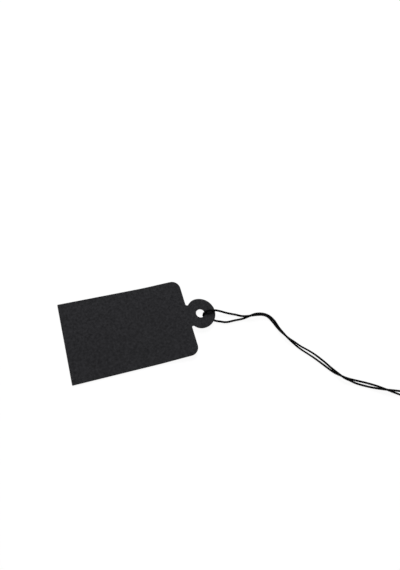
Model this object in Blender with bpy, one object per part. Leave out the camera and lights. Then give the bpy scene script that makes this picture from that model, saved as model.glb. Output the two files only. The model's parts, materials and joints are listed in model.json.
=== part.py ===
import math

import bmesh
import bpy
import numpy as np
from mathutils import Vector

# A strung price tag: a die-cut card with a round ear, and a thread tied in a loop through the ear.
# Metres, +Z up. X runs along the card to the ear, and the origin lies under the middle of the card.

# Card
BODY_LENGTH = 0.0312                # square end to the shoulder
BODY_WIDTH = 0.0206
CARD_THICKNESS = 0.0004
CORNER_RADIUS = 0.0022              # the two rounded corners at the shoulder
SQUARE_CORNER_RADIUS = 0.0002       # what a cutting rule leaves on a square corner
EAR_RADIUS = 0.00407
EAR_OFFSET = 0.00307                # shoulder to the middle of the ear
FLANK_RADIUS = 0.00308              # the ear's sides close in faster towards the shoulder
HOLE_RADIUS = 0.00117
HOLE_OFFSET = 0.00012               # middle of the ear to the middle of the hole
NECK_FILLET = 0.00042               # between the shoulder and the ear
BEND_RUN = 0.01                     # the card curves up over this run, to clear the thread under the ear
BEND_MARGIN = 0.001                 # level card from the end of the curve to the shoulder
ARC_STEP = math.radians(9)
BEND_STEPS = 10

# String
STRING_DIAMETER = 0.0005
UNDER_GAP = 0.00012                 # thread on the table to the ear above it
OVER_GAP = 0.00008                  # ear to the thread across it
CROSS_GAP = 0.00006                 # where one strand passes over the other
TURN_INSET = 0.0004                 # how far the turn in the hole bows in from its ends
TURN_REACH = 0.0001                 # the ends of that turn lie this far outside the hole
TURN_FROM = math.radians(-5)        # where the thread enters the hole, round the hole's middle
TURN_TO = math.radians(-48)         # where it comes out underneath
TURN_POINTS = 5
RIM_OVERHANG = 0.00045              # ear's rim to the line on which the loop lifts
LIFT_GAP = 0.00015                  # thread ends to that line, on either side
OVER_EXIT = -0.0003                 # where the thread leaves the top of the ear, across the card
OVER_DIP = 0.00007                  # by then it has begun to come down
OVER_BOW = 0.0002                   # towards the hole the run over the ear swings aside
OVER_ARCH = 0.00035                 # and arches up
UNDER_EXIT = -0.00305               # where it comes out from under the ear
UNDER_BOW = 0.0002                  # towards there the run under the ear swings aside
RUN_SHARES = (0.35, 0.7)            # points on each run between the hole and the ear's rim
BIGHT_STEP = 0.0005
STRAND_STEP = 0.0012
SPLINE_SAMPLES = 40                 # fine points to each span of a route, before it is spaced out evenly

# Knot
KNOT_LENGTH = 0.003
KNOT_DIAMETER = 0.0019
KNOT_GAP = 0.0003                   # knot to the thread ends that meet it
KNOT_RINGS = 10
KNOT_SIDES = 16
TAIL_SPREAD = 0.0003                # tails leave the knot this far to each side of its line

# Finishes
CARD_COLOUR = (0.022, 0.022, 0.024)
CARD_ROUGHNESS = 0.92
THREAD_COLOUR = (0.004, 0.004, 0.004)
THREAD_ROUGHNESS = 0.85

# Heights and places that follow
STRING_RADIUS = STRING_DIAMETER / 2
EAR_LIFT = STRING_DIAMETER + UNDER_GAP
EAR_TOP = EAR_LIFT + CARD_THICKNESS
RUN_HEIGHT = EAR_TOP + OVER_GAP + STRING_RADIUS
TOTAL_LENGTH = BODY_LENGTH + EAR_OFFSET + EAR_RADIUS
SQUARE_END = -TOTAL_LENGTH / 2
SHOULDER = SQUARE_END + BODY_LENGTH
EAR_X = SHOULDER + EAR_OFFSET
HOLE_X = EAR_X + HOLE_OFFSET
LIFT_X = EAR_RADIUS + RIM_OVERHANG - HOLE_OFFSET
ROUTE_UNIT = 0.001                  # the routes are written in millimetres
DROP = (RUN_HEIGHT - STRING_RADIUS) / ROUTE_UNIT
HUMP = (STRING_DIAMETER + CROSS_GAP) / ROUTE_UNIT

# The strands' routes from the hole's middle: along, across, and up from lying on the table
STRAND_START = (LIFT_X + LIFT_GAP) / ROUTE_UNIT
UPPER_ROUTE = [
    (STRAND_START, -0.38, 0.83 * DROP), (5.41, -0.67, 0.59 * DROP), (6.78, -1.28, 0.32 * DROP),
    (8.18, -1.83, 0.11 * DROP), (9.58, -2.42, 0.0), (10.58, -2.98, 0.28 * HUMP),
    (11.73, -3.47, 0.85 * HUMP), (12.88, -3.66, HUMP), (14.88, -3.84, 0.8 * HUMP),
    (16.97, -4.37, 0.6 * HUMP), (17.93, -5.12, 0.3 * HUMP), (18.49, -6.10, 0.08 * HUMP),
    (18.94, -7.26, 0.05 * HUMP), (19.28, -8.48, 0.35 * HUMP), (19.77, -9.73, 0.6 * HUMP),
    (20.31, -10.84, 0.92 * HUMP), (20.92, -11.85, HUMP), (21.64, -12.73, HUMP),
    (22.40, -13.52, 0.85 * HUMP), (23.23, -14.28, 0.35 * HUMP), (24.14, -15.12, 0.0), (26.08, -17.04, 0.0),
    (28.15, -19.77, 0.0), (29.21, -21.45, 0.05 * HUMP), (29.80, -22.60, 0.42 * HUMP),
    (30.36, -23.74, 0.95 * HUMP), (31.13, -24.87, HUMP), (32.04, -25.89, 0.9 * HUMP),
    (33.16, -26.65, 0.55 * HUMP), (34.30, -27.45, 0.1 * HUMP), (36.68, -28.88, 0.0),
    (40.18, -30.64, 0.5 * HUMP), (43.18, -31.90, HUMP), (45.78, -32.80, 0.55 * HUMP),
    (48.38, -33.90, 0.05 * HUMP), (50.98, -35.50, 0.4 * HUMP), (53.38, -37.60, HUMP),
    (55.68, -39.90, 0.4 * HUMP), (57.98, -42.10, 0.05), (59.68, -43.50, 0.3)]
LOWER_ROUTE = [
    (STRAND_START, -3.16, 0.0), (5.46, -3.53, 0.0), (6.52, -3.77, 0.0), (7.66, -3.78, 0.0),
    (8.81, -3.78, 0.0), (9.94, -3.83, 0.0), (11.40, -3.77, 0.0), (13.12, -3.48, 0.0),
    (14.52, -3.28, 0.0), (15.95, -3.43, 0.0), (17.26, -3.91, 0.0), (18.19, -4.61, 0.0),
    (18.88, -5.54, 0.0), (19.41, -6.86, 0.0), (19.81, -8.50, 0.0), (20.33, -9.85, 0.0),
    (20.92, -11.30, 0.0), (21.58, -12.59, 0.0), (22.29, -13.82, 0.0), (23.21, -15.19, 0.0),
    (24.83, -17.08, 0.0), (26.62, -19.22, 0.0), (28.12, -21.23, 0.0), (29.62, -23.19, 0.0),
    (30.45, -24.03, 0.0), (31.46, -24.81, 0.0), (32.47, -25.60, 0.0), (33.54, -26.25, 0.0),
    (34.66, -26.85, 0.0), (35.93, -27.50, 0.0), (38.38, -28.80, 0.0), (40.78, -30.28, 0.0),
    (43.08, -31.90, 0.0), (45.38, -33.50, 0.0), (47.88, -35.00, 0.0), (50.58, -36.20, 0.0),
    (53.38, -37.50, 0.0), (56.08, -39.20, 0.0), (58.38, -41.20, 0.05), (59.98, -42.90, 0.3)]
# One tail from the knot's end: along the string's line, out to its own side, and up
TAIL_ROUTE = [(0.0, 0.00, 0.3), (0.8, 0.06, 0.18), (2.0, 0.25, 0.02), (3.4, 0.62, 0.0), (4.8, 0.80, 0.0),
              (6.0, 0.78, 0.0)]


def material(name, colour, roughness):
    made = bpy.data.materials.new(name)
    made.use_nodes = True
    shader = made.node_tree.nodes["Principled BSDF"]
    shader.inputs["Base Color"].default_value = (*colour, 1)
    shader.inputs["Roughness"].default_value = roughness
    shader.inputs["Metallic"].default_value = 0
    return made


def empty(name, place, parent=None, turn=0.0):
    made = bpy.data.objects.new(name, None)
    bpy.context.scene.collection.objects.link(made)
    made.parent = parent
    made.location = place
    made.rotation_euler.z = turn
    return made


def add(name, data, finish, parent=None):
    data.materials.append(finish)
    made = bpy.data.objects.new(name, data)
    bpy.context.scene.collection.objects.link(made)
    made.parent = parent
    return made


def arc(x, y, radius, start, end):
    steps = max(2, math.ceil(abs(end - start) / ARC_STEP))
    angles = [start + (end - start) * i / steps for i in range(steps + 1)]
    return [(x + radius * math.cos(a), y + radius * math.sin(a)) for a in angles]


def card_outline():
    side = BODY_WIDTH / 2
    flank = EAR_RADIUS - FLANK_RADIUS        # the middle of a flank, across the card
    neck_run = EAR_OFFSET - NECK_FILLET
    neck_rise = math.sqrt((FLANK_RADIUS + NECK_FILLET) ** 2 - neck_run ** 2)
    lean = math.atan2(neck_rise, neck_run)   # from a fillet's middle to the flank's
    square = (SQUARE_END + SQUARE_CORNER_RADIUS, side - SQUARE_CORNER_RADIUS, SQUARE_CORNER_RADIUS)
    corner = (SHOULDER - CORNER_RADIUS, side - CORNER_RADIUS, CORNER_RADIUS)
    half = arc(EAR_X, 0, EAR_RADIUS, 0, math.pi / 2)
    half += arc(EAR_X, flank, FLANK_RADIUS, math.pi / 2, math.pi - lean)[1:]
    half += arc(SHOULDER + NECK_FILLET, flank + neck_rise, NECK_FILLET, -lean, -math.pi)[1:]
    half += arc(*corner, 0, math.pi / 2)
    half += arc(*square, math.pi / 2, math.pi)
    return half + [(x, -y) for x, y in reversed(half[1:])]


def bend(x):
    t = (x - (SHOULDER - BEND_MARGIN - BEND_RUN)) / BEND_RUN
    t = min(max(t, 0), 1)
    return EAR_LIFT * t * t * (3 - 2 * t)


def ring(mesh, points):
    corners = [mesh.verts.new((x, y, 0)) for x, y in points]
    return [mesh.edges.new((a, b)) for a, b in zip(corners, corners[1:] + corners[:1])]


def tag_card(finish):
    mesh = bmesh.new()
    edges = ring(mesh, card_outline())
    edges += ring(mesh, arc(HOLE_X, 0, HOLE_RADIUS, 0, math.tau)[:-1])
    bmesh.ops.triangle_fill(mesh, use_beauty=True, edges=edges, normal=(0, 0, 1))
    for i in range(BEND_STEPS + 1):
        x = SHOULDER - BEND_MARGIN - BEND_RUN * i / BEND_STEPS
        everything = mesh.verts[:] + mesh.edges[:] + mesh.faces[:]
        bmesh.ops.bisect_plane(mesh, geom=everything, plane_co=(x, 0, 0), plane_no=(1, 0, 0))
    grown = bmesh.ops.extrude_face_region(mesh, geom=mesh.faces[:])["geom"]
    upper = [item for item in grown if isinstance(item, bmesh.types.BMVert)]
    bmesh.ops.translate(mesh, vec=(0, 0, CARD_THICKNESS), verts=upper)
    for corner in mesh.verts:
        corner.co.z += bend(corner.co.x)
    bmesh.ops.recalc_face_normals(mesh, faces=mesh.faces[:])
    data = bpy.data.meshes.new("tag_card")
    mesh.to_mesh(data)
    mesh.free()
    return add("tag_card", data, finish)


def smooth(route, step):
    # a natural cubic spline through the route, read at even steps along its length
    points = np.array(route, dtype=float)
    spans = np.linalg.norm(np.diff(points, axis=0), axis=1)
    count = len(points)
    system = np.eye(count)
    target = np.zeros_like(points)
    for i in range(1, count - 1):
        before, after = spans[i - 1], spans[i]
        system[i, i - 1:i + 2] = before, 2 * (before + after), after
        target[i] = 6 * ((points[i + 1] - points[i]) / after - (points[i] - points[i - 1]) / before)
    bow = np.linalg.solve(system, target)
    fine = []
    for i, span in enumerate(spans):
        t = np.linspace(0, span, SPLINE_SAMPLES, endpoint=False)[:, None]
        slope = (points[i + 1] - points[i]) / span - span * (2 * bow[i] + bow[i + 1]) / 6
        curl = (bow[i + 1] - bow[i]) / (6 * span)
        fine.append(points[i] + slope * t + bow[i] * t ** 2 / 2 + curl * t ** 3)
    fine = np.concatenate(fine + [points[-1:]])
    along = np.concatenate(([0], np.cumsum(np.linalg.norm(np.diff(fine, axis=0), axis=1))))
    stops = np.linspace(0, along[-1], max(3, round(along[-1] / step) + 1))
    return np.stack([np.interp(stops, along, fine[:, axis]) for axis in range(3)], axis=1)


def tube(name, points, finish, parent):
    data = bpy.data.curves.new(name, "CURVE")
    data.dimensions = "3D"
    data.bevel_depth = STRING_RADIUS
    data.bevel_resolution = 2
    data.use_fill_caps = True
    spline = data.splines.new("POLY")
    spline.points.add(len(points) - 1)
    for point, place in zip(spline.points, points):
        point.co = (*place, 1)
    return add(name, data, finish, parent)


def part_way(start, end, share):
    return tuple(Vector(start).lerp(Vector(end), share))


def on_table(route):
    unit = ROUTE_UNIT
    return [(x * unit, y * unit, STRING_RADIUS + rise * unit) for x, y, rise in route]


def string_bight(finish, parent):
    # across the ear, round a turn that hugs the hole's edge, and back along the table under the ear
    middle = (RUN_HEIGHT + STRING_RADIUS) / 2
    turn = []
    for i in range(TURN_POINTS):
        share = i / (TURN_POINTS - 1)
        around = TURN_FROM + (TURN_TO - TURN_FROM) * share
        out = HOLE_RADIUS + TURN_REACH - TURN_INSET * math.sqrt(math.sin(math.pi * share))
        height = middle + (RUN_HEIGHT - middle) * math.cos(math.pi * share)
        turn.append((out * math.cos(around), out * math.sin(around), height))
    rim = LIFT_X - LIFT_GAP
    start = (rim, OVER_EXIT, RUN_HEIGHT - OVER_DIP)
    end = (rim, UNDER_EXIT, STRING_RADIUS)
    level = (rim, OVER_EXIT, RUN_HEIGHT)
    crest = (turn[0][0], turn[0][1] + OVER_BOW, turn[0][2] + OVER_ARCH)
    aside = (rim, UNDER_EXIT - UNDER_BOW, STRING_RADIUS)
    over = [part_way(level, crest, share) for share in RUN_SHARES]
    under = [part_way(turn[-1], aside, share) for share in RUN_SHARES]
    points = smooth([start] + over + turn + under + [end], BIGHT_STEP)
    points[:, 2] = np.maximum(points[:, 2], STRING_RADIUS)
    return tube("string_bight", points, finish, parent)


def strand(name, route, finish, parent):
    points = smooth(on_table(route), STRAND_STEP)
    points[:, 2] = np.maximum(points[:, 2], STRING_RADIUS)
    return tube(name, points - np.array(parent.location), finish, parent)


def knot_place():
    # past the two strands' ends, in the direction in which they run out
    ends = [Vector(route[-1]).to_2d() * ROUTE_UNIT for route in (UPPER_ROUTE, LOWER_ROUTE)]
    before = [Vector(route[-2]).to_2d() * ROUTE_UNIT for route in (UPPER_ROUTE, LOWER_ROUTE)]
    heading = (ends[0] + ends[1] - before[0] - before[1]).normalized()
    place = (ends[0] + ends[1]) / 2 + heading * (KNOT_GAP + KNOT_LENGTH / 2)
    return place.to_3d(), math.atan2(heading.y, heading.x)


def string_knot(finish, parent):
    mesh = bmesh.new()
    bmesh.ops.create_uvsphere(mesh, u_segments=KNOT_SIDES, v_segments=KNOT_RINGS, radius=0.5)
    bmesh.ops.scale(mesh, vec=(KNOT_LENGTH, KNOT_DIAMETER, KNOT_DIAMETER), verts=mesh.verts[:])
    bmesh.ops.translate(mesh, vec=(0, 0, KNOT_DIAMETER / 2), verts=mesh.verts[:])
    data = bpy.data.meshes.new("string_knot")
    mesh.to_mesh(data)
    mesh.free()
    data.shade_smooth()
    return add("string_knot", data, finish, parent)


def string_tail(name, side, finish, parent):
    start = KNOT_LENGTH / 2 + KNOT_GAP
    route = [(start + x, side * (TAIL_SPREAD + y), z) for x, y, z in on_table(TAIL_ROUTE)]
    return tube(name, smooth(route, STRAND_STEP), finish, parent)


def build():
    for item in list(bpy.data.objects):
        bpy.data.objects.remove(item)
    card = material("black_card", CARD_COLOUR, CARD_ROUGHNESS)
    thread = material("black_thread", THREAD_COLOUR, THREAD_ROUGHNESS)
    tag_card(card)
    swing = empty("swing_axis", (HOLE_X, 0, 0))
    string_bight(thread, swing)
    lift = empty("lift_axis", (LIFT_X, 0, RUN_HEIGHT), swing)
    strand("string_upper_strand", UPPER_ROUTE, thread, lift)
    strand("string_lower_strand", LOWER_ROUTE, thread, lift)
    place, heading = knot_place()
    knot = empty("knot_middle", place - Vector(lift.location), lift, heading)
    string_knot(thread, knot)
    string_tail("string_left_tail", 1, thread, knot)
    string_tail("string_right_tail", -1, thread, knot)


build()
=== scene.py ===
import json
import math

import bmesh
import bpy
import numpy as np
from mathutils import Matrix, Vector


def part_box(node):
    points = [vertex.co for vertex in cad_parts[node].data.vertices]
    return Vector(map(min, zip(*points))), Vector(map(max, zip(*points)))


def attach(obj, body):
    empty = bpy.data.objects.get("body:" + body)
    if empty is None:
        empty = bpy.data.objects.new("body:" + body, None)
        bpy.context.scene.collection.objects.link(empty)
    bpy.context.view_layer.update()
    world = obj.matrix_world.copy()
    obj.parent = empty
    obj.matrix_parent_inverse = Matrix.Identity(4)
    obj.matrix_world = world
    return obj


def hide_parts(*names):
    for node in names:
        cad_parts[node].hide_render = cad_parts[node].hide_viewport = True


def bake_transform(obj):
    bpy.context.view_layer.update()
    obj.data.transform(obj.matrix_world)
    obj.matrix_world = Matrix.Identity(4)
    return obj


# The strung price tag's looks: a die-cut card of black paper and its twisted black thread.

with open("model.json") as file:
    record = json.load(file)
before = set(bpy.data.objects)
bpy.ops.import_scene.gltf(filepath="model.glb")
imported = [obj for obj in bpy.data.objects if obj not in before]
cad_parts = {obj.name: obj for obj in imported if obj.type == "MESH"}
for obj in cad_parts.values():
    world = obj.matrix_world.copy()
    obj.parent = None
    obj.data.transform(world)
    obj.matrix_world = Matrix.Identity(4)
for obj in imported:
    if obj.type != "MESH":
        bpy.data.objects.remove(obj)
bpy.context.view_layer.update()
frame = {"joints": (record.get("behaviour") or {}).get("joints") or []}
mm = 0.001
print("frame loaded")

# Camera, at the photograph's place and angle

photoCamera = {
    "place": (-15.920, -35.602, 104.488),   # millimetres from the card's middle
    "turn": (25.964, -10.518, -17.034),     # degrees
    "lens": 27.655,                         # millimetres, for a sensor of this width
    "sensor": 36,
    "nearest": 5,                           # millimetres, the least that it sees
}

camera = bpy.data.objects.new("photoCamera", bpy.data.cameras.new("photoCamera"))
bpy.context.scene.collection.objects.link(camera)
camera.location = Vector(photoCamera["place"]) * mm
camera.rotation_euler = [math.radians(angle) for angle in photoCamera["turn"]]
camera.data.sensor_width = photoCamera["sensor"]
camera.data.lens = photoCamera["lens"]
camera.data.clip_start = photoCamera["nearest"] * mm
bpy.context.scene.camera = camera
print("camera placed")


# Meshes from grids

def gridFaces(rows, columns):
    # the quads between neighbouring rows and columns, with the last column joined to the first
    row = np.arange(rows - 1)[:, None] * columns
    here = np.arange(columns)[None, :]
    following = (here + 1) % columns
    faces = [row + here, row + following, row + columns + following, row + columns + here]
    return np.stack(faces, -1).reshape(-1, 4)


def makePiece(name, points, faces, material):
    mesh = bpy.data.meshes.new(name)
    mesh.from_pydata(points.tolist(), [], faces)
    mesh.materials.append(material)
    mesh.polygons.foreach_set("use_smooth", np.ones(len(mesh.polygons), bool))
    mesh.update()
    piece = bpy.data.objects.new(name, mesh)
    bpy.context.scene.collection.objects.link(piece)
    return piece


def addAttribute(piece, name, kind, values):
    layer = piece.data.attributes.new(name, kind, "POINT")
    field = "vector" if kind == "FLOAT_VECTOR" else "value"
    layer.data.foreach_set(field, np.asarray(values, np.float32).ravel())


# Shared finish: the fine mottle of matted fibres

fibres = {
    "cloudDetail": 2,          # fibres gathered into small clouds
    "cloudRoughness": 0.6,
    "fibreScale": 4.0,         # single fibres to a cloud
    "fibreDetail": 2,
    "fibreWarp": 1.6,          # draws the fibres out
    "toneShare": 0.3,          # how much of the tone, and of the height, the single fibres give
    "heightShare": 0.7,
    "middle": (0.3, 0.7),      # where most of a noise's values lie
}


def fibreMottle():
    # tone and height are each a mix of the clouds' noise with the finer, warped noise of the fibres
    group = bpy.data.node_groups.new("fibreMottle", "ShaderNodeTree")
    sockets = group.interface
    sockets.new_socket("Vector", in_out="INPUT", socket_type="NodeSocketVector")
    sockets.new_socket("Scale", in_out="INPUT", socket_type="NodeSocketFloat")
    sockets.new_socket("Tone", in_out="OUTPUT", socket_type="NodeSocketFloat")
    sockets.new_socket("Height", in_out="OUTPUT", socket_type="NodeSocketFloat")
    make, link = group.nodes.new, group.links.new
    inside = make("NodeGroupInput")
    outside = make("NodeGroupOutput")
    clouds = make("ShaderNodeTexNoise")
    clouds.inputs["Detail"].default_value = fibres["cloudDetail"]
    clouds.inputs["Roughness"].default_value = fibres["cloudRoughness"]
    finer = make("ShaderNodeMath")
    finer.operation = "MULTIPLY"
    finer.inputs[1].default_value = fibres["fibreScale"]
    single = make("ShaderNodeTexNoise")
    single.inputs["Detail"].default_value = fibres["fibreDetail"]
    single.inputs["Distortion"].default_value = fibres["fibreWarp"]
    tone = make("ShaderNodeMix")
    tone.inputs["Factor"].default_value = fibres["toneShare"]
    height = make("ShaderNodeMix")
    height.inputs["Factor"].default_value = fibres["heightShare"]
    link(inside.outputs["Vector"], clouds.inputs["Vector"])
    link(inside.outputs["Scale"], clouds.inputs["Scale"])
    link(inside.outputs["Scale"], finer.inputs[0])
    link(inside.outputs["Vector"], single.inputs["Vector"])
    link(finer.outputs[0], single.inputs["Scale"])
    for mix, socket in ((tone, "Tone"), (height, "Height")):
        link(clouds.outputs["Fac"], mix.inputs["A"])
        link(single.outputs["Fac"], mix.inputs["B"])
        link(mix.outputs["Result"], outside.inputs[socket])
    return group


mottle = fibreMottle()


def newMaterial(name):
    material = bpy.data.materials.new(name)
    material.use_nodes = True
    return material, material.node_tree.nodes, material.node_tree.links


def addMottle(nodes, links, vector, scale):
    grain = nodes.new("ShaderNodeGroup")
    grain.node_tree = mottle
    grain.inputs["Scale"].default_value = scale
    links.new(vector, grain.inputs["Vector"])
    return grain


def mapRange(nodes, links, value, start, end):
    # the range from start's first value to its second, carried over to end's two
    node = nodes.new("ShaderNodeMapRange")
    node.inputs["From Min"].default_value, node.inputs["From Max"].default_value = start
    node.inputs["To Min"].default_value, node.inputs["To Max"].default_value = end
    links.new(value, node.inputs["Value"])
    return node.outputs["Result"]


def spread(nodes, links, noise, end):
    # the middle of a noise, spread over end's two values
    return mapRange(nodes, links, noise, fibres["middle"], end)


def twoTones(nodes, links, value, dark, light):
    mix = nodes.new("ShaderNodeMix")
    mix.data_type = "RGBA"
    colours = [socket for socket in mix.inputs if socket.type == "RGBA"]
    colours[0].default_value = (*dark, 1)
    colours[1].default_value = (*light, 1)
    links.new(value, mix.inputs["Factor"])
    return next(socket for socket in mix.outputs if socket.type == "RGBA")


def product(nodes, links, first, second):
    node = nodes.new("ShaderNodeMath")
    node.operation = "MULTIPLY"
    links.new(first, node.inputs[0])
    links.new(second, node.inputs[1])
    return node.outputs[0]


def addBump(nodes, links, height, strength, distance):
    bump = nodes.new("ShaderNodeBump")
    bump.inputs["Strength"].default_value = strength
    bump.inputs["Distance"].default_value = distance
    links.new(height, bump.inputs["Height"])
    links.new(bump.outputs["Normal"], nodes["Principled BSDF"].inputs["Normal"])


# Card

cardLow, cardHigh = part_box("tag_card")
swingJoint = next(joint for joint in frame["joints"] if joint["name"] == "string_swing")
liftJoint = next(joint for joint in frame["joints"] if joint["name"] == "string_lift")
holeX = swingJoint["pos_m"][0]

card = {
    "thickness": 0.40 * mm,
    "holeOffset": 0.12 * mm,           # the hole lies a little past the ear's middle
    "shoulderRun": 3.07 * mm,          # from there to the rounded end
    "cornerRadius": 2.2 * mm,
    "squareCorner": 0.2 * mm,
    "flankRadius": 3.08 * mm,          # the ear's sides close in faster towards the shoulder
    "holeRadius": 1.17 * mm,
    "neckFillet": 0.42 * mm,
    "edgeRound": 0.07 * mm,            # the die rolls the edge over
    "bendRun": 10 * mm,                # the card curves up over this run to clear the thread
    "bendMargin": 1 * mm,              # level card from the curve to the shoulder
    "counts": {"ear": 30, "flank": 16, "neck": 12, "shoulder": 12,
               "corner": 16, "side": 70, "tip": 6, "end": 17},
    "edgeSteps": 5,                    # points on each round of the cut edge
    "coreStops": (-0.2 * mm, -1.6 * mm, -2.4 * mm),    # from the shoulder, on the middle line
    "coreEnd": 6 * mm,                 # from the square end
    "innerShares": (0.012, 0.1, 0.22, 0.36, 0.5, 0.64, 0.78, 0.9, 0.985, 1.0),    # edge to core
    "weld": 0.0005 * mm,
    "dark": (0.0069, 0.0069, 0.0079),
    "light": (0.0263, 0.0263, 0.0296),
    "grain": 1800,                     # fibre clouds to the metre
    "drift": 120,                      # patches a little lighter or darker, to the metre
    "driftDetail": 1,
    "patches": (0.92, 1.08),
    "edgeShade": (1, 0.7),             # the cut edge is darker than the face
    "roughness": (0.98, 0.84),
    "specular": 0.2,
    "bump": 0.4,
    "bumpDepth": 0.02 * mm,
}
earX = holeX - card["holeOffset"]
card["shoulder"] = earX - card["shoulderRun"]
card["earRadius"] = cardHigh.x - earX
card["lift"] = cardHigh.z - card["thickness"]


def arcPoints(x, y, radius, start, end, count):
    # the radius times the cosine and the sine of even angles, about x and y
    angle = np.linspace(start, end, count)
    return np.stack([x + radius * np.cos(angle), y + radius * np.sin(angle)], -1)


def runPoints(start, end, count):
    # even points from start to end, without start itself
    share = np.linspace(0, 1, count + 1)[1:, None]
    return np.array(start) * (1 - share) + np.array(end) * share


def halfOutline(inset):
    # the card's edge from the ear's tip round to the middle of the square end, moved in by inset:
    # arcs round the ear, its flank, the neck and the two corners, with straight runs between them
    count = card["counts"]
    side, shoulder, squareEnd = cardHigh.y, card["shoulder"], cardLow.x
    earRadius, flankRadius = card["earRadius"], card["flankRadius"]
    fillet, rounded, square = card["neckFillet"], card["cornerRadius"], card["squareCorner"]
    flankY = earRadius - flankRadius
    neckRun = earX - shoulder - fillet
    neckRise = math.sqrt((flankRadius + fillet) ** 2 - neckRun ** 2)
    lean = math.atan2(neckRise, neckRun)
    right, straight = math.pi / 2, math.pi
    ear = arcPoints(earX, 0, earRadius - inset, 0, right, count["ear"])
    flank = arcPoints(earX, flankY, flankRadius - inset, right, straight - lean, count["flank"] + 1)
    neckX, neckY = shoulder + fillet, flankY + neckRise
    neck = arcPoints(neckX, neckY, fillet + inset, -lean, -straight, count["neck"] + 1)
    cornerX, cornerY = shoulder - rounded, side - rounded
    corner = arcPoints(cornerX, cornerY, rounded - inset, 0, right, count["corner"] + 1)
    tipX, tipY = squareEnd + square, side - square
    tip = arcPoints(tipX, tipY, square - inset, right, straight, count["tip"] + 1)
    shoulderRun = runPoints(neck[-1], corner[0], count["shoulder"])
    sideRun = runPoints(corner[-1], tip[0], count["side"])
    endRun = runPoints(tip[-1], (squareEnd + inset, 0), count["end"])
    outline = [ear, flank[1:], neck[1:], shoulderRun, corner[1:], sideRun, tip[1:], endRun]
    return np.concatenate(outline)


def halfCore(inset):
    # what each point of the edge is joined to inside the card: the hole's edge for the ear, and then
    # places along the card's middle line, ending at one place short of the square end
    count = card["counts"]
    radius = card["holeRadius"] + inset
    hole = arcPoints(holeX, 0, radius, 0, math.pi, count["ear"] + count["flank"])
    between = [card["shoulder"] + stop for stop in card["coreStops"]]
    stops = [hole[-1, 0], *between, cardLow.x + card["coreEnd"]]
    runs = [count["neck"], count["shoulder"], count["corner"], count["side"]]
    middle = [runPoints((a, 0), (b, 0), n) for a, b, n in zip(stops, stops[1:], runs)]
    end = np.repeat(middle[-1][-1:], count["tip"] + count["end"], axis=0)
    return np.concatenate([hole] + middle + [end])


def wholeLoop(half):
    # the half on the +Y side, then its mirror image from the square end back to the ear
    return np.concatenate([half, half[-2:0:-1] * [1, -1]])


def cardRise(x):
    # smooth step from 0 to the ear's lift over the bend
    share = (x - (card["shoulder"] - card["bendMargin"] - card["bendRun"])) / card["bendRun"]
    share = np.clip(share, 0, 1)
    return card["lift"] * share * share * (3 - 2 * share)


def edgeProfile(count):
    # how far in and how high the cut edge runs from the back to the face: two quarter rounds and a wall
    radius = card["edgeRound"]
    turn = np.linspace(0, math.pi / 2, count)
    back = np.stack([radius * (1 - np.sin(turn)), radius * (1 - np.cos(turn))], -1)
    face = back[::-1] * [1, -1] + [0, card["thickness"]]
    return np.concatenate([back, face])


def makeCard(material):
    # P(s, t): s runs round the edge, t from the middle of the back out, round the cut edge and in again
    profile = edgeProfile(card["edgeSteps"])
    inset, thickness = card["edgeRound"], card["thickness"]
    core, edge = wholeLoop(halfCore(inset)), wholeLoop(halfOutline(inset))
    shares = np.array(card["innerShares"])
    inner = [edge * (1 - share) + core * share for share in shares]
    rings = [wholeLoop(halfOutline(step)) for step in profile[:, 0]]
    flat = np.array(inner[::-1] + rings + inner)
    level = np.ones(len(shares))
    heights = np.concatenate([0 * level, profile[:, 1], thickness * level])
    cut = np.concatenate([0 * level, np.ones(len(profile)), 0 * level])
    rows, columns = flat.shape[:2]
    points = np.concatenate([flat, np.broadcast_to(heights[:, None, None], (rows, columns, 1))], -1)
    # the hole's wall is the same profile carried round the hole
    around = np.linspace(0, math.pi, card["counts"]["ear"] + card["counts"]["flank"])
    around = np.concatenate([around, -around[-2:0:-1]])
    radius = card["holeRadius"] + profile[:, :1]
    high = np.broadcast_to(profile[:, 1:], (len(profile), len(around)))
    wall = np.stack([holeX + radius * np.cos(around), radius * np.sin(around), high], -1)
    wallFaces = gridFaces(len(profile), len(around))[:, ::-1] + rows * columns
    points = np.concatenate([points.reshape(-1, 3), wall.reshape(-1, 3)])
    points[:, 2] += cardRise(points[:, 0])
    faces = np.concatenate([gridFaces(rows, columns), wallFaces])
    piece = makePiece("dieCutCard", points, faces.tolist(), material)
    cut = np.concatenate([np.repeat(cut, columns), np.ones(high.size)])
    addAttribute(piece, "cutEdge", "FLOAT", cut)
    return piece


def weld(piece, distance):
    mesh = bmesh.new()
    mesh.from_mesh(piece.data)
    bmesh.ops.remove_doubles(mesh, verts=mesh.verts[:], dist=distance)
    mesh.to_mesh(piece.data)
    mesh.free()


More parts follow.
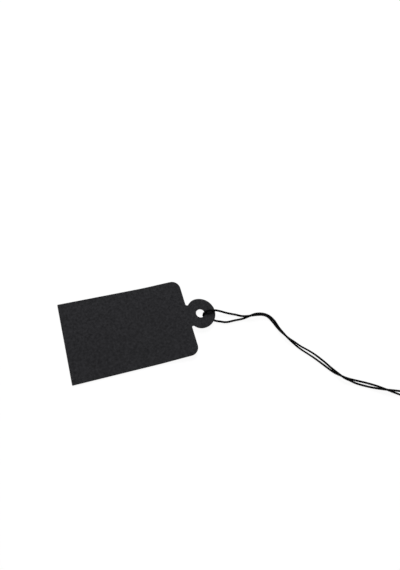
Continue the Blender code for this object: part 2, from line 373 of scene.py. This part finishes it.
def cardMaterial():
    # tone is the mottle times the patches, less on the cut edge; it sets the colour, and the mottle
    # alone the roughness and the bump
    material, nodes, links = newMaterial("blackCard")
    shader = nodes["Principled BSDF"]
    place = nodes.new("ShaderNodeTexCoord").outputs["Object"]
    grain = addMottle(nodes, links, place, card["grain"])
    slow = nodes.new("ShaderNodeTexNoise")
    slow.inputs["Scale"].default_value = card["drift"]
    slow.inputs["Detail"].default_value = card["driftDetail"]
    links.new(place, slow.inputs["Vector"])
    edge = nodes.new("ShaderNodeAttribute")
    edge.attribute_name = "cutEdge"
    shade = mapRange(nodes, links, edge.outputs["Fac"], (0, 1), card["edgeShade"])
    patches = spread(nodes, links, slow.outputs["Fac"], card["patches"])
    fibreTone = grain.outputs["Tone"]
    tone = product(nodes, links, spread(nodes, links, fibreTone, (0, 1)), patches)
    tone = product(nodes, links, tone, shade)
    links.new(twoTones(nodes, links, tone, card["dark"], card["light"]), shader.inputs["Base Color"])
    links.new(spread(nodes, links, fibreTone, card["roughness"]), shader.inputs["Roughness"])
    shader.inputs["Specular IOR Level"].default_value = card["specular"]
    addBump(nodes, links, grain.outputs["Height"], card["bump"], card["bumpDepth"])
    return material


cardPiece = makeCard(cardMaterial())
weld(cardPiece, card["weld"])
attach(cardPiece, "card")
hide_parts("tag_card")
print("card made:", len(cardPiece.data.polygons), "faces")

# Thread

thread = {
    "laid": 0.50 * mm,         # diameter of the round solid on the same line
    "over": 0.61 * mm,         # diameter over the crowns of the plies, with their fuzz
    "plies": 3,
    "plyReach": 0.42,          # a ply's middle from the thread's, as a share of its radius
    "pitch": 1.3 * mm,         # one full twist of the plies
    "slimAt": 39.5 * mm,       # it is drawn slimmer about this place along X
    "slimRun": 3.2 * mm,
    "slimShare": 0.13,
    "step": 0.07 * mm,         # from ring to ring
    "fineSteps": 4,            # the curve is worked out this much finer than that
    "sides": 24,
    "overGap": 0.08 * mm,      # ear to the thread across it
    "crossGap": 0.06 * mm,     # where one strand passes over the other
    "turnInset": 0.40 * mm,    # how the thread turns down through the hole, close to its edge
    "turnReach": 0.10 * mm,
    "turnFrom": math.radians(-5),
    "turnTo": math.radians(-48),
    "turnPoints": 5,
    "runShares": (0.35, 0.7),  # points on the runs over and under the ear
    "liftGap": 0.15 * mm,
    "overExit": -0.30 * mm,    # where the thread leaves the top of the ear
    "overDip": 0.07 * mm,
    "overBow": 0.20 * mm,      # towards the hole it swings aside and arches up off the ear
    "overArch": 0.35 * mm,
    "underExit": -3.05 * mm,   # where it comes out from under the ear
    "underBow": 0.20 * mm,
    "seam": 3.1 * mm,          # the strands join the bight this far from the hole's middle
    "bendFrom": 4.1 * mm,      # and turn from the bight's motion to the loop's between these
    "bendTo": 6.5 * mm,
    "dark": (0.0008, 0.0008, 0.0009),
    "light": (0.0032, 0.0032, 0.0034),
    "grain": 3.0,              # fibre clouds across a ply
    "alongPly": 0.35,          # fibres lie along their ply
    # the mottle's range on the crowns; times the crown it paints the grooves darker, as painted shade
    "lit": (0.2, 1),
    "roughness": (0.92, 0.72),
    "specular": 0.05,
    "bump": 0.5,
    "bumpDepth": 0.012 * mm,
}
laidRadius = thread["laid"] / 2
plyRadius = thread["over"] / 2
runHeight = cardHigh.z + thread["overGap"] + laidRadius
liftX = liftJoint["pos_m"][0] - holeX
drop = (runHeight - laidRadius) / mm
hump = (thread["over"] + thread["crossGap"]) / mm
strandStart = (liftX + thread["liftGap"]) / mm

# the strands' routes in millimetres from the hole's middle: along, across, and up off the table
upperRoute = [
    (strandStart, -0.38, 0.83 * drop), (5.41, -0.67, 0.59 * drop), (6.78, -1.28, 0.32 * drop),
    (8.18, -1.83, 0.11 * drop), (9.58, -2.42, 0.0), (10.58, -2.98, 0.28 * hump),
    (11.73, -3.47, 0.85 * hump), (12.88, -3.66, hump), (14.88, -3.84, 0.8 * hump),
    (16.97, -4.37, 0.6 * hump), (17.93, -5.12, 0.3 * hump), (18.49, -6.10, 0.08 * hump),
    (18.94, -7.26, 0.05 * hump), (19.28, -8.48, 0.35 * hump), (19.77, -9.73, 0.6 * hump),
    (20.31, -10.84, 0.92 * hump), (20.92, -11.85, hump), (21.64, -12.73, hump),
    (22.40, -13.52, 0.85 * hump), (23.23, -14.28, 0.35 * hump), (24.14, -15.12, 0.0),
    (26.08, -17.04, 0.0), (28.15, -19.77, 0.0), (29.21, -21.45, 0.05 * hump),
    (29.80, -22.60, 0.42 * hump), (30.36, -23.74, 0.95 * hump), (31.13, -24.87, hump),
    (32.04, -25.89, 0.9 * hump), (33.16, -26.65, 0.55 * hump), (34.30, -27.45, 0.1 * hump),
    (36.68, -28.88, 0.0), (40.18, -30.64, 0.5 * hump), (43.18, -31.90, hump),
    (45.78, -32.80, 0.55 * hump), (48.38, -33.90, 0.05 * hump), (50.98, -35.50, 0.4 * hump),
    (53.38, -37.60, hump), (55.68, -39.90, 0.4 * hump), (57.98, -42.10, 0.05),
    (59.68, -43.50, 0.3)]
lowerRoute = [
    (strandStart, -3.16, 0.0), (5.46, -3.53, 0.0), (6.52, -3.77, 0.0), (7.66, -3.78, 0.0),
    (8.81, -3.78, 0.0), (9.94, -3.83, 0.0), (11.40, -3.77, 0.0), (13.12, -3.48, 0.0),
    (14.52, -3.28, 0.0), (15.95, -3.43, 0.0), (17.26, -3.91, 0.0), (18.19, -4.61, 0.0),
    (18.88, -5.54, 0.0), (19.41, -6.86, 0.0), (19.81, -8.50, 0.0), (20.33, -9.85, 0.0),
    (20.92, -11.30, 0.0), (21.58, -12.59, 0.0), (22.29, -13.82, 0.0), (23.21, -15.19, 0.0),
    (24.83, -17.08, 0.0), (26.62, -19.22, 0.0), (28.12, -21.23, 0.0), (29.62, -23.19, 0.0),
    (30.45, -24.03, 0.0), (31.46, -24.81, 0.0), (32.47, -25.60, 0.0), (33.54, -26.25, 0.0),
    (34.66, -26.85, 0.0), (35.93, -27.50, 0.0), (38.38, -28.80, 0.0), (40.78, -30.28, 0.0),
    (43.08, -31.90, 0.0), (45.38, -33.50, 0.0), (47.88, -35.00, 0.0), (50.58, -36.20, 0.0),
    (53.38, -37.50, 0.0), (56.08, -39.20, 0.0), (58.38, -41.20, 0.05), (59.98, -42.90, 0.3)]

# the overhand knot, tied in both strands at once, in millimetres and degrees
knot = {
    "core": 0.30,              # from the knot's line to the threads that run through it
    "wrap": 0.67,              # and to the threads wound round them
    "pitch": 1.06,             # the wound pair moves on by this in each turn
    "gap": 0.3,                # strand ends to the knot
    "length": 3.0,
    "lower": {"angle": 45.0, "turn": 450.0, "start": 1.08},     # where each thread lies in the core,
    "upper": {"angle": -45.0, "turn": 630.0, "start": 0.82},    # how far it is wound and from where
    "windFrom": 120.0,         # the helix begins this far into the turn
    "windShort": 60.0,         # and ends this far short of it
    "windStep": 30.0,
    # points along the knot, out from the core and round from the thread's angle there: on the way in,
    # folding back from the winding's start, leaving it from its end, and on the way out
    "enter": [(-1.2, 0.0, 0.0), (0.0, 0.0, 0.0)],
    "fold": [(0.0, 0.0, 5.0), (0.22, 0.18, 35.0), (0.0, 0.33, 80.0)],
    "leave": [(-0.05, 0.2, -25.0), (0.15, 0.06, 0.0), (0.6, 0.0, 0.0)],
    "out": [(1.3, 0.0, 0.0)],
    "tailSpread": 0.30,        # tails leave this far to each side of the line
    "tail": [(0.8, 0.06, 0.18), (2.0, 0.25, 0.02), (3.4, 0.62, 0.0),
             (4.8, 0.80, 0.0), (6.0, 0.78, 0.0)],
}


def onTable(route):
    # a route made metres, from the hole's middle and from the height of a thread that lies flat
    return np.array(route) * mm + [holeX, 0, laidRadius]


def bightRoute():
    # level across the ear, round a turn whose reach follows the root of a sine and its height a cosine,
    # and back below
    share = np.linspace(0, 1, thread["turnPoints"])
    around = thread["turnFrom"] + (thread["turnTo"] - thread["turnFrom"]) * share
    bow = np.sqrt(np.abs(np.sin(math.pi * share)))
    reach = card["holeRadius"] + thread["turnReach"] - thread["turnInset"] * bow
    middle = (runHeight + laidRadius) / 2
    height = middle + (runHeight - middle) * np.cos(math.pi * share)
    turn = np.stack([reach * np.cos(around), reach * np.sin(around), height], -1)
    rim = liftX - thread["liftGap"]
    level = np.array([rim, thread["overExit"], runHeight])
    start = level - [0, 0, thread["overDip"]]
    end = np.array([rim, thread["underExit"], laidRadius])
    crest = turn[0] + [0, thread["overBow"], thread["overArch"]]
    aside = end - [0, thread["underBow"], 0]
    shares = np.array(thread["runShares"])[:, None]
    over = level * (1 - shares) + crest * shares
    under = turn[-1] * (1 - shares) + aside * shares
    return np.concatenate([[start], over, turn, under, [end]]) + [holeX, 0, 0]


def knotFrame():
    # the knot's middle, past the strands' ends, and the directions along it, to its left and up
    ends = np.array([upperRoute[-1], lowerRoute[-1]])[:, :2]
    before = np.array([upperRoute[-2], lowerRoute[-2]])[:, :2]
    along = (ends - before).sum(0)
    along /= np.linalg.norm(along)
    middle = ends.mean(0) + along * (knot["gap"] + knot["length"] / 2)
    place = np.array([holeX + middle[0] * mm, middle[1] * mm, knot["wrap"] * mm + plyRadius])
    return place, np.array([[*along, 0], [-along[1], along[0], 0], [0, 0, 1]])


def knotPoints(name, along, angle):
    return np.array(knot[name]) + [along, knot["core"], angle]


def knotRoute(strand, side):
    # in through the knot, a helix back round both passes, in through the knot again and out as a tail:
    # a helix of radius wrap whose two threads lie side by side, half a pitch apart
    way = knot[strand]
    angle, turn, start = way["angle"], way["turn"], way["start"]
    end = start - knot["pitch"] * turn / 360
    wound = np.arange(knot["windFrom"], turn - knot["windShort"] + 1, knot["windStep"])
    wrap = np.full(len(wound), knot["wrap"])
    coil = np.stack([start - knot["pitch"] * wound / 360, wrap, angle + wound], -1)
    inward = [knotPoints("enter", 0, angle), knotPoints("fold", start, angle)]
    outward = [knotPoints("leave", end, angle + turn), knotPoints("out", 0, angle + turn)]
    along, out, around = np.concatenate([*inward, coil, *outward]).T
    around = np.radians(around)
    local = np.stack([along, out * np.cos(around), out * np.sin(around)], -1) * mm
    place, axes = knotFrame()
    tail = np.array(knot["tail"]) + [knot["length"] / 2 + knot["gap"], knot["tailSpread"], 0]
    tail = tail * [1, side, 1] * mm
    tail[:, 2] += laidRadius - place[2]
    return np.concatenate([local, tail]) @ axes + place


def smoothLine(points, step):
    # a natural cubic spline through the points, read at even steps along its length, and the steps at
    # which the points lie
    span = np.linalg.norm(np.diff(points, axis=0), axis=1)
    along = np.concatenate(([0], np.cumsum(span)))
    inner = np.arange(1, len(points) - 1)
    system = np.eye(len(points))
    system[inner, inner - 1] = span[:-1]
    system[inner, inner] = 2 * (span[:-1] + span[1:])
    system[inner, inner + 1] = span[1:]
    target = np.zeros_like(points)
    target[1:-1] = 6 * np.diff(np.diff(points, axis=0) / span[:, None], axis=0)
    bow = np.linalg.solve(system, target)
    fine = np.linspace(0, along[-1], int(along[-1] / step) * thread["fineSteps"])
    first = np.clip(np.searchsorted(along, fine, side="right") - 1, 0, len(span) - 1)
    width = span[first][:, None]
    b = (fine - along[first])[:, None] / width
    a = 1 - b
    line = a * points[first] + b * points[first + 1]
    line += ((a ** 3 - a) * bow[first] + (b ** 3 - b) * bow[first + 1]) * width ** 2 / 6
    length = np.concatenate(([0], np.cumsum(np.linalg.norm(np.diff(line, axis=0), axis=1))))
    stops = np.linspace(0, length[-1], int(length[-1] / step) + 1)
    marks = np.searchsorted(stops, np.interp(along, fine, length))
    return np.stack([np.interp(stops, length, line[:, axis]) for axis in range(3)], -1), marks


def plyProfile(count):
    # the outline of equal round plies pressed together: the far side of the nearest ply's circle
    turn = np.linspace(0, math.tau, count, endpoint=False)
    apart = math.tau / thread["plies"]
    off = (turn + apart / 2) % apart - apart / 2
    reach = thread["plyReach"]
    radius = 1 - reach
    return turn, reach * np.cos(off) + np.sqrt(radius ** 2 - (reach * np.sin(off)) ** 2)


def carriedSides(tangent):
    # a direction across the line, carried along it without twist: each is the last one, made square
    # to the line again
    sides = np.empty_like(tangent)
    last = np.cross([0, 0, 1], tangent[0])
    for i, way in enumerate(tangent):
        last = last - way * (last @ way)
        last = last / np.linalg.norm(last)
        sides[i] = last
    return sides


def sweepThread(line):
    # the ply profile carried along the line, turned once in each pitch, narrowed by a bell curve in X
    tangent = np.gradient(line, axis=0)
    tangent /= np.linalg.norm(tangent, axis=1)[:, None]
    side = carriedSides(tangent)
    up = np.cross(tangent, side)
    distance = np.concatenate(([0], np.cumsum(np.linalg.norm(np.diff(line, axis=0), axis=1))))
    turn, reach = plyProfile(thread["sides"])
    angle = turn[None, :] + math.tau * distance[:, None] / thread["pitch"]
    out = np.cos(angle)[..., None] * side[:, None] + np.sin(angle)[..., None] * up[:, None]
    bell = np.exp(-((line[:, 0] - thread["slimAt"]) / thread["slimRun"]) ** 2)
    slim = 1 - thread["slimShare"] * bell
    return line[:, None] + out * (plyRadius * slim[:, None] * reach)[..., None], distance


def threadPiece(name, stretches, material):
    # tubes through rings, each with a fan of faces over either end
    points, faces, crowns, ways, rims = [], [], [], [], []
    base = 0
    turn, reach = plyProfile(thread["sides"])
    # how far out on its ply each side lies, used to paint shade into the grooves
    crown = (reach - reach.min()) / (reach.max() - reach.min())
    for rings, distance in stretches:
        rows, columns = rings.shape[:2]
        here = np.arange(columns)
        following = (here + 1) % columns
        top = (rows - 1) * columns
        tips = rows * columns + np.array([0, 1])
        startFan = np.stack([here, np.full(columns, tips[0]), following], -1) + base
        endFan = np.stack([top + following, np.full(columns, tips[1]), top + here], -1) + base
        points += [rings.reshape(-1, 3), rings[[0, -1]].mean(1)]
        faces += (gridFaces(rows, columns) + base).tolist() + startFan.tolist() + endFan.tolist()
        crowns += [np.tile(crown, rows), [0.5, 0.5]]      # half way at the cut ends' middles
        way = np.stack(np.broadcast_arrays(np.cos(turn), np.sin(turn), distance[:, None] / mm), -1)
        ways += [way.reshape(-1, 3), way[[0, -1], 0]]
        rims.append((base, columns, base + top))
        base += rows * columns + 2
    piece = makePiece(name, np.concatenate(points), faces, material)
    edges = np.empty(len(piece.data.edges) * 2, int)
    piece.data.edges.foreach_get("vertices", edges)
    edges = edges.reshape(-1, 2)
    sharp = np.zeros(len(edges), bool)
    for start, columns, top in rims:
        for rim in (start, top):
            sharp |= ((edges >= rim) & (edges < rim + columns)).all(1)
    piece.data.edges.foreach_set("use_edge_sharp", sharp)
    addAttribute(piece, "crown", "FLOAT", np.concatenate(crowns))
    addAttribute(piece, "fibreWay", "FLOAT_VECTOR", np.concatenate(ways))
    return piece


def threadMaterial():
    # the mottle times the ply's crown sets the colour, painting shade into the grooves between the
    # plies and light onto their crowns; the mottle alone sets the roughness and the bump
    material, nodes, links = newMaterial("blackThread")
    shader = nodes["Principled BSDF"]
    way = nodes.new("ShaderNodeAttribute")                  # across and along the plies
    way.attribute_name = "fibreWay"
    drawn = nodes.new("ShaderNodeMapping")
    drawn.inputs["Scale"].default_value = (1.0, 1.0, thread["alongPly"])
    links.new(way.outputs["Vector"], drawn.inputs["Vector"])
    grain = addMottle(nodes, links, drawn.outputs["Vector"], thread["grain"])
    crown = nodes.new("ShaderNodeAttribute")                # 1 on a ply's crown, 0 in the groove; it paints shade into the grooves
    crown.attribute_name = "crown"
    tone = grain.outputs["Tone"]
    lit = product(nodes, links, spread(nodes, links, tone, thread["lit"]), crown.outputs["Fac"])
    links.new(twoTones(nodes, links, lit, thread["dark"], thread["light"]), shader.inputs["Base Color"])
    links.new(spread(nodes, links, tone, thread["roughness"]), shader.inputs["Roughness"])
    shader.inputs["Specular IOR Level"].default_value = thread["specular"]
    addBump(nodes, links, grain.outputs["Height"], thread["bump"], thread["bumpDepth"])
    return material


routes = [knotRoute("lower", 1)[::-1], onTable(lowerRoute)[::-1], bightRoute()[::-1]]
routes += [onTable(upperRoute), knotRoute("upper", -1)]
stringLine, marks = smoothLine(np.concatenate(routes), thread["step"])
stringLine[:, 2] = np.maximum(stringLine[:, 2], plyRadius)
starts = np.cumsum([0] + [len(route) for route in routes])
lowerKnot, upperKnot = int(marks[starts[1]]), int(marks[starts[4] - 1])    # strands reach the knot
crossings = np.flatnonzero(np.diff(np.sign(stringLine[:, 0] - holeX - thread["seam"])))
lowerSeam, upperSeam = int(crossings[0]), int(crossings[-1])               # under and over the ear
rings, distance = sweepThread(stringLine)
blackThread = threadMaterial()


def stretch(start, end):
    return rings[start:end + 1], distance[start:end + 1]


lastRing = len(stringLine) - 1
bight = threadPiece("threadBight", [stretch(lowerSeam, upperSeam)], blackThread)
lower = threadPiece("lowerStrand", [stretch(lowerKnot, lowerSeam)], blackThread)
upper = threadPiece("upperStrand", [stretch(upperSeam, upperKnot)], blackThread)
tied = threadPiece("overhandKnot", [stretch(0, lowerKnot), stretch(upperKnot, lastRing)], blackThread)

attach(bight, "bight")
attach(tied, "loop")
for strand in (lower, upper):
    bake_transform(strand)
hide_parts("string_bight")
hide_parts("string_lower_strand")
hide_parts("string_upper_strand")
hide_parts("string_knot", "string_left_tail", "string_right_tail")
for piece in (bight, lower, upper, tied):
    print("thread made:", piece.name, len(piece.data.polygons), "faces")

# Stage

stage = {
    "floorSize": 8.0,
    "floorGrey": 0.8,          # what the floor throws back on the object
    "seenShare": 0.09,         # how much of its shadow shows
    "seenGlow": 0.945,
    "backdrop": 0.958,         # as bright as the floor's far end, so that no horizon shows
    "ambient": 0.14,
    "keyPlace": (0.10, 0.55, 0.50),
    "keySize": 0.30,
    "keyPower": 5.4,
}


def lookRays(nodes, links):
    # 1 for rays that show the stage, from the camera or in a reflection, and 0 for rays of light
    rays = nodes.new("ShaderNodeLightPath")
    mirror = nodes.new("ShaderNodeMath")
    look = nodes.new("ShaderNodeMath")
    mirror.operation = look.operation = "MAXIMUM"
    links.new(rays.outputs["Is Camera Ray"], mirror.inputs[0])
    links.new(rays.outputs["Is Glossy Ray"], mirror.inputs[1])
    links.new(mirror.outputs[0], look.inputs[0])
    links.new(rays.outputs["Is Transmission Ray"], look.inputs[1])
    return look.outputs[0]


def floorMaterial():
    material, nodes, links = newMaterial("paleFloor")
    nodes.remove(nodes["Principled BSDF"])
    plain = nodes.new("ShaderNodeBsdfDiffuse")
    faint = nodes.new("ShaderNodeBsdfDiffuse")
    glow = nodes.new("ShaderNodeEmission")
    plain.inputs["Color"].default_value = (*[stage["floorGrey"]] * 3, 1)
    faint.inputs["Color"].default_value = (*[stage["seenShare"]] * 3, 1)
    glow.inputs["Strength"].default_value = stage["seenGlow"]
    seen = nodes.new("ShaderNodeAddShader")
    choose = nodes.new("ShaderNodeMixShader")
    links.new(faint.outputs[0], seen.inputs[0])
    links.new(glow.outputs[0], seen.inputs[1])
    links.new(lookRays(nodes, links), choose.inputs[0])
    links.new(plain.outputs[0], choose.inputs[1])
    links.new(seen.outputs[0], choose.inputs[2])
    links.new(choose.outputs[0], nodes["Material Output"].inputs["Surface"])
    return material


edge = stage["floorSize"] / 2
corners = np.array([(-edge, -edge, 0), (edge, -edge, 0), (edge, edge, 0), (-edge, edge, 0)])
floor = makePiece("paleFloor", corners, [(0, 1, 2, 3)], floorMaterial())

world = bpy.data.worlds.new("studio")
bpy.context.scene.world = world
world.use_nodes = True
nodes, links = world.node_tree.nodes, world.node_tree.links
light = nodes["Background"]
light.inputs["Color"].default_value = (1, 1, 1, 1)
light.inputs["Strength"].default_value = stage["ambient"]
white = nodes.new("ShaderNodeBackground")
white.inputs["Color"].default_value = (1, 1, 1, 1)
white.inputs["Strength"].default_value = stage["backdrop"]
choose = nodes.new("ShaderNodeMixShader")
links.new(lookRays(nodes, links), choose.inputs[0])
links.new(light.outputs[0], choose.inputs[1])
links.new(white.outputs[0], choose.inputs[2])
links.new(choose.outputs[0], nodes["World Output"].inputs["Surface"])

key = bpy.data.objects.new("softKey", bpy.data.lights.new("softKey", "AREA"))
bpy.context.scene.collection.objects.link(key)
key.data.size = stage["keySize"]
key.data.energy = stage["keyPower"]
key.location = stage["keyPlace"]
key.rotation_euler = (-Vector(stage["keyPlace"])).to_track_quat("-Z", "Y").to_euler()
bpy.context.scene.view_settings.view_transform = "Standard"
print("stage set")
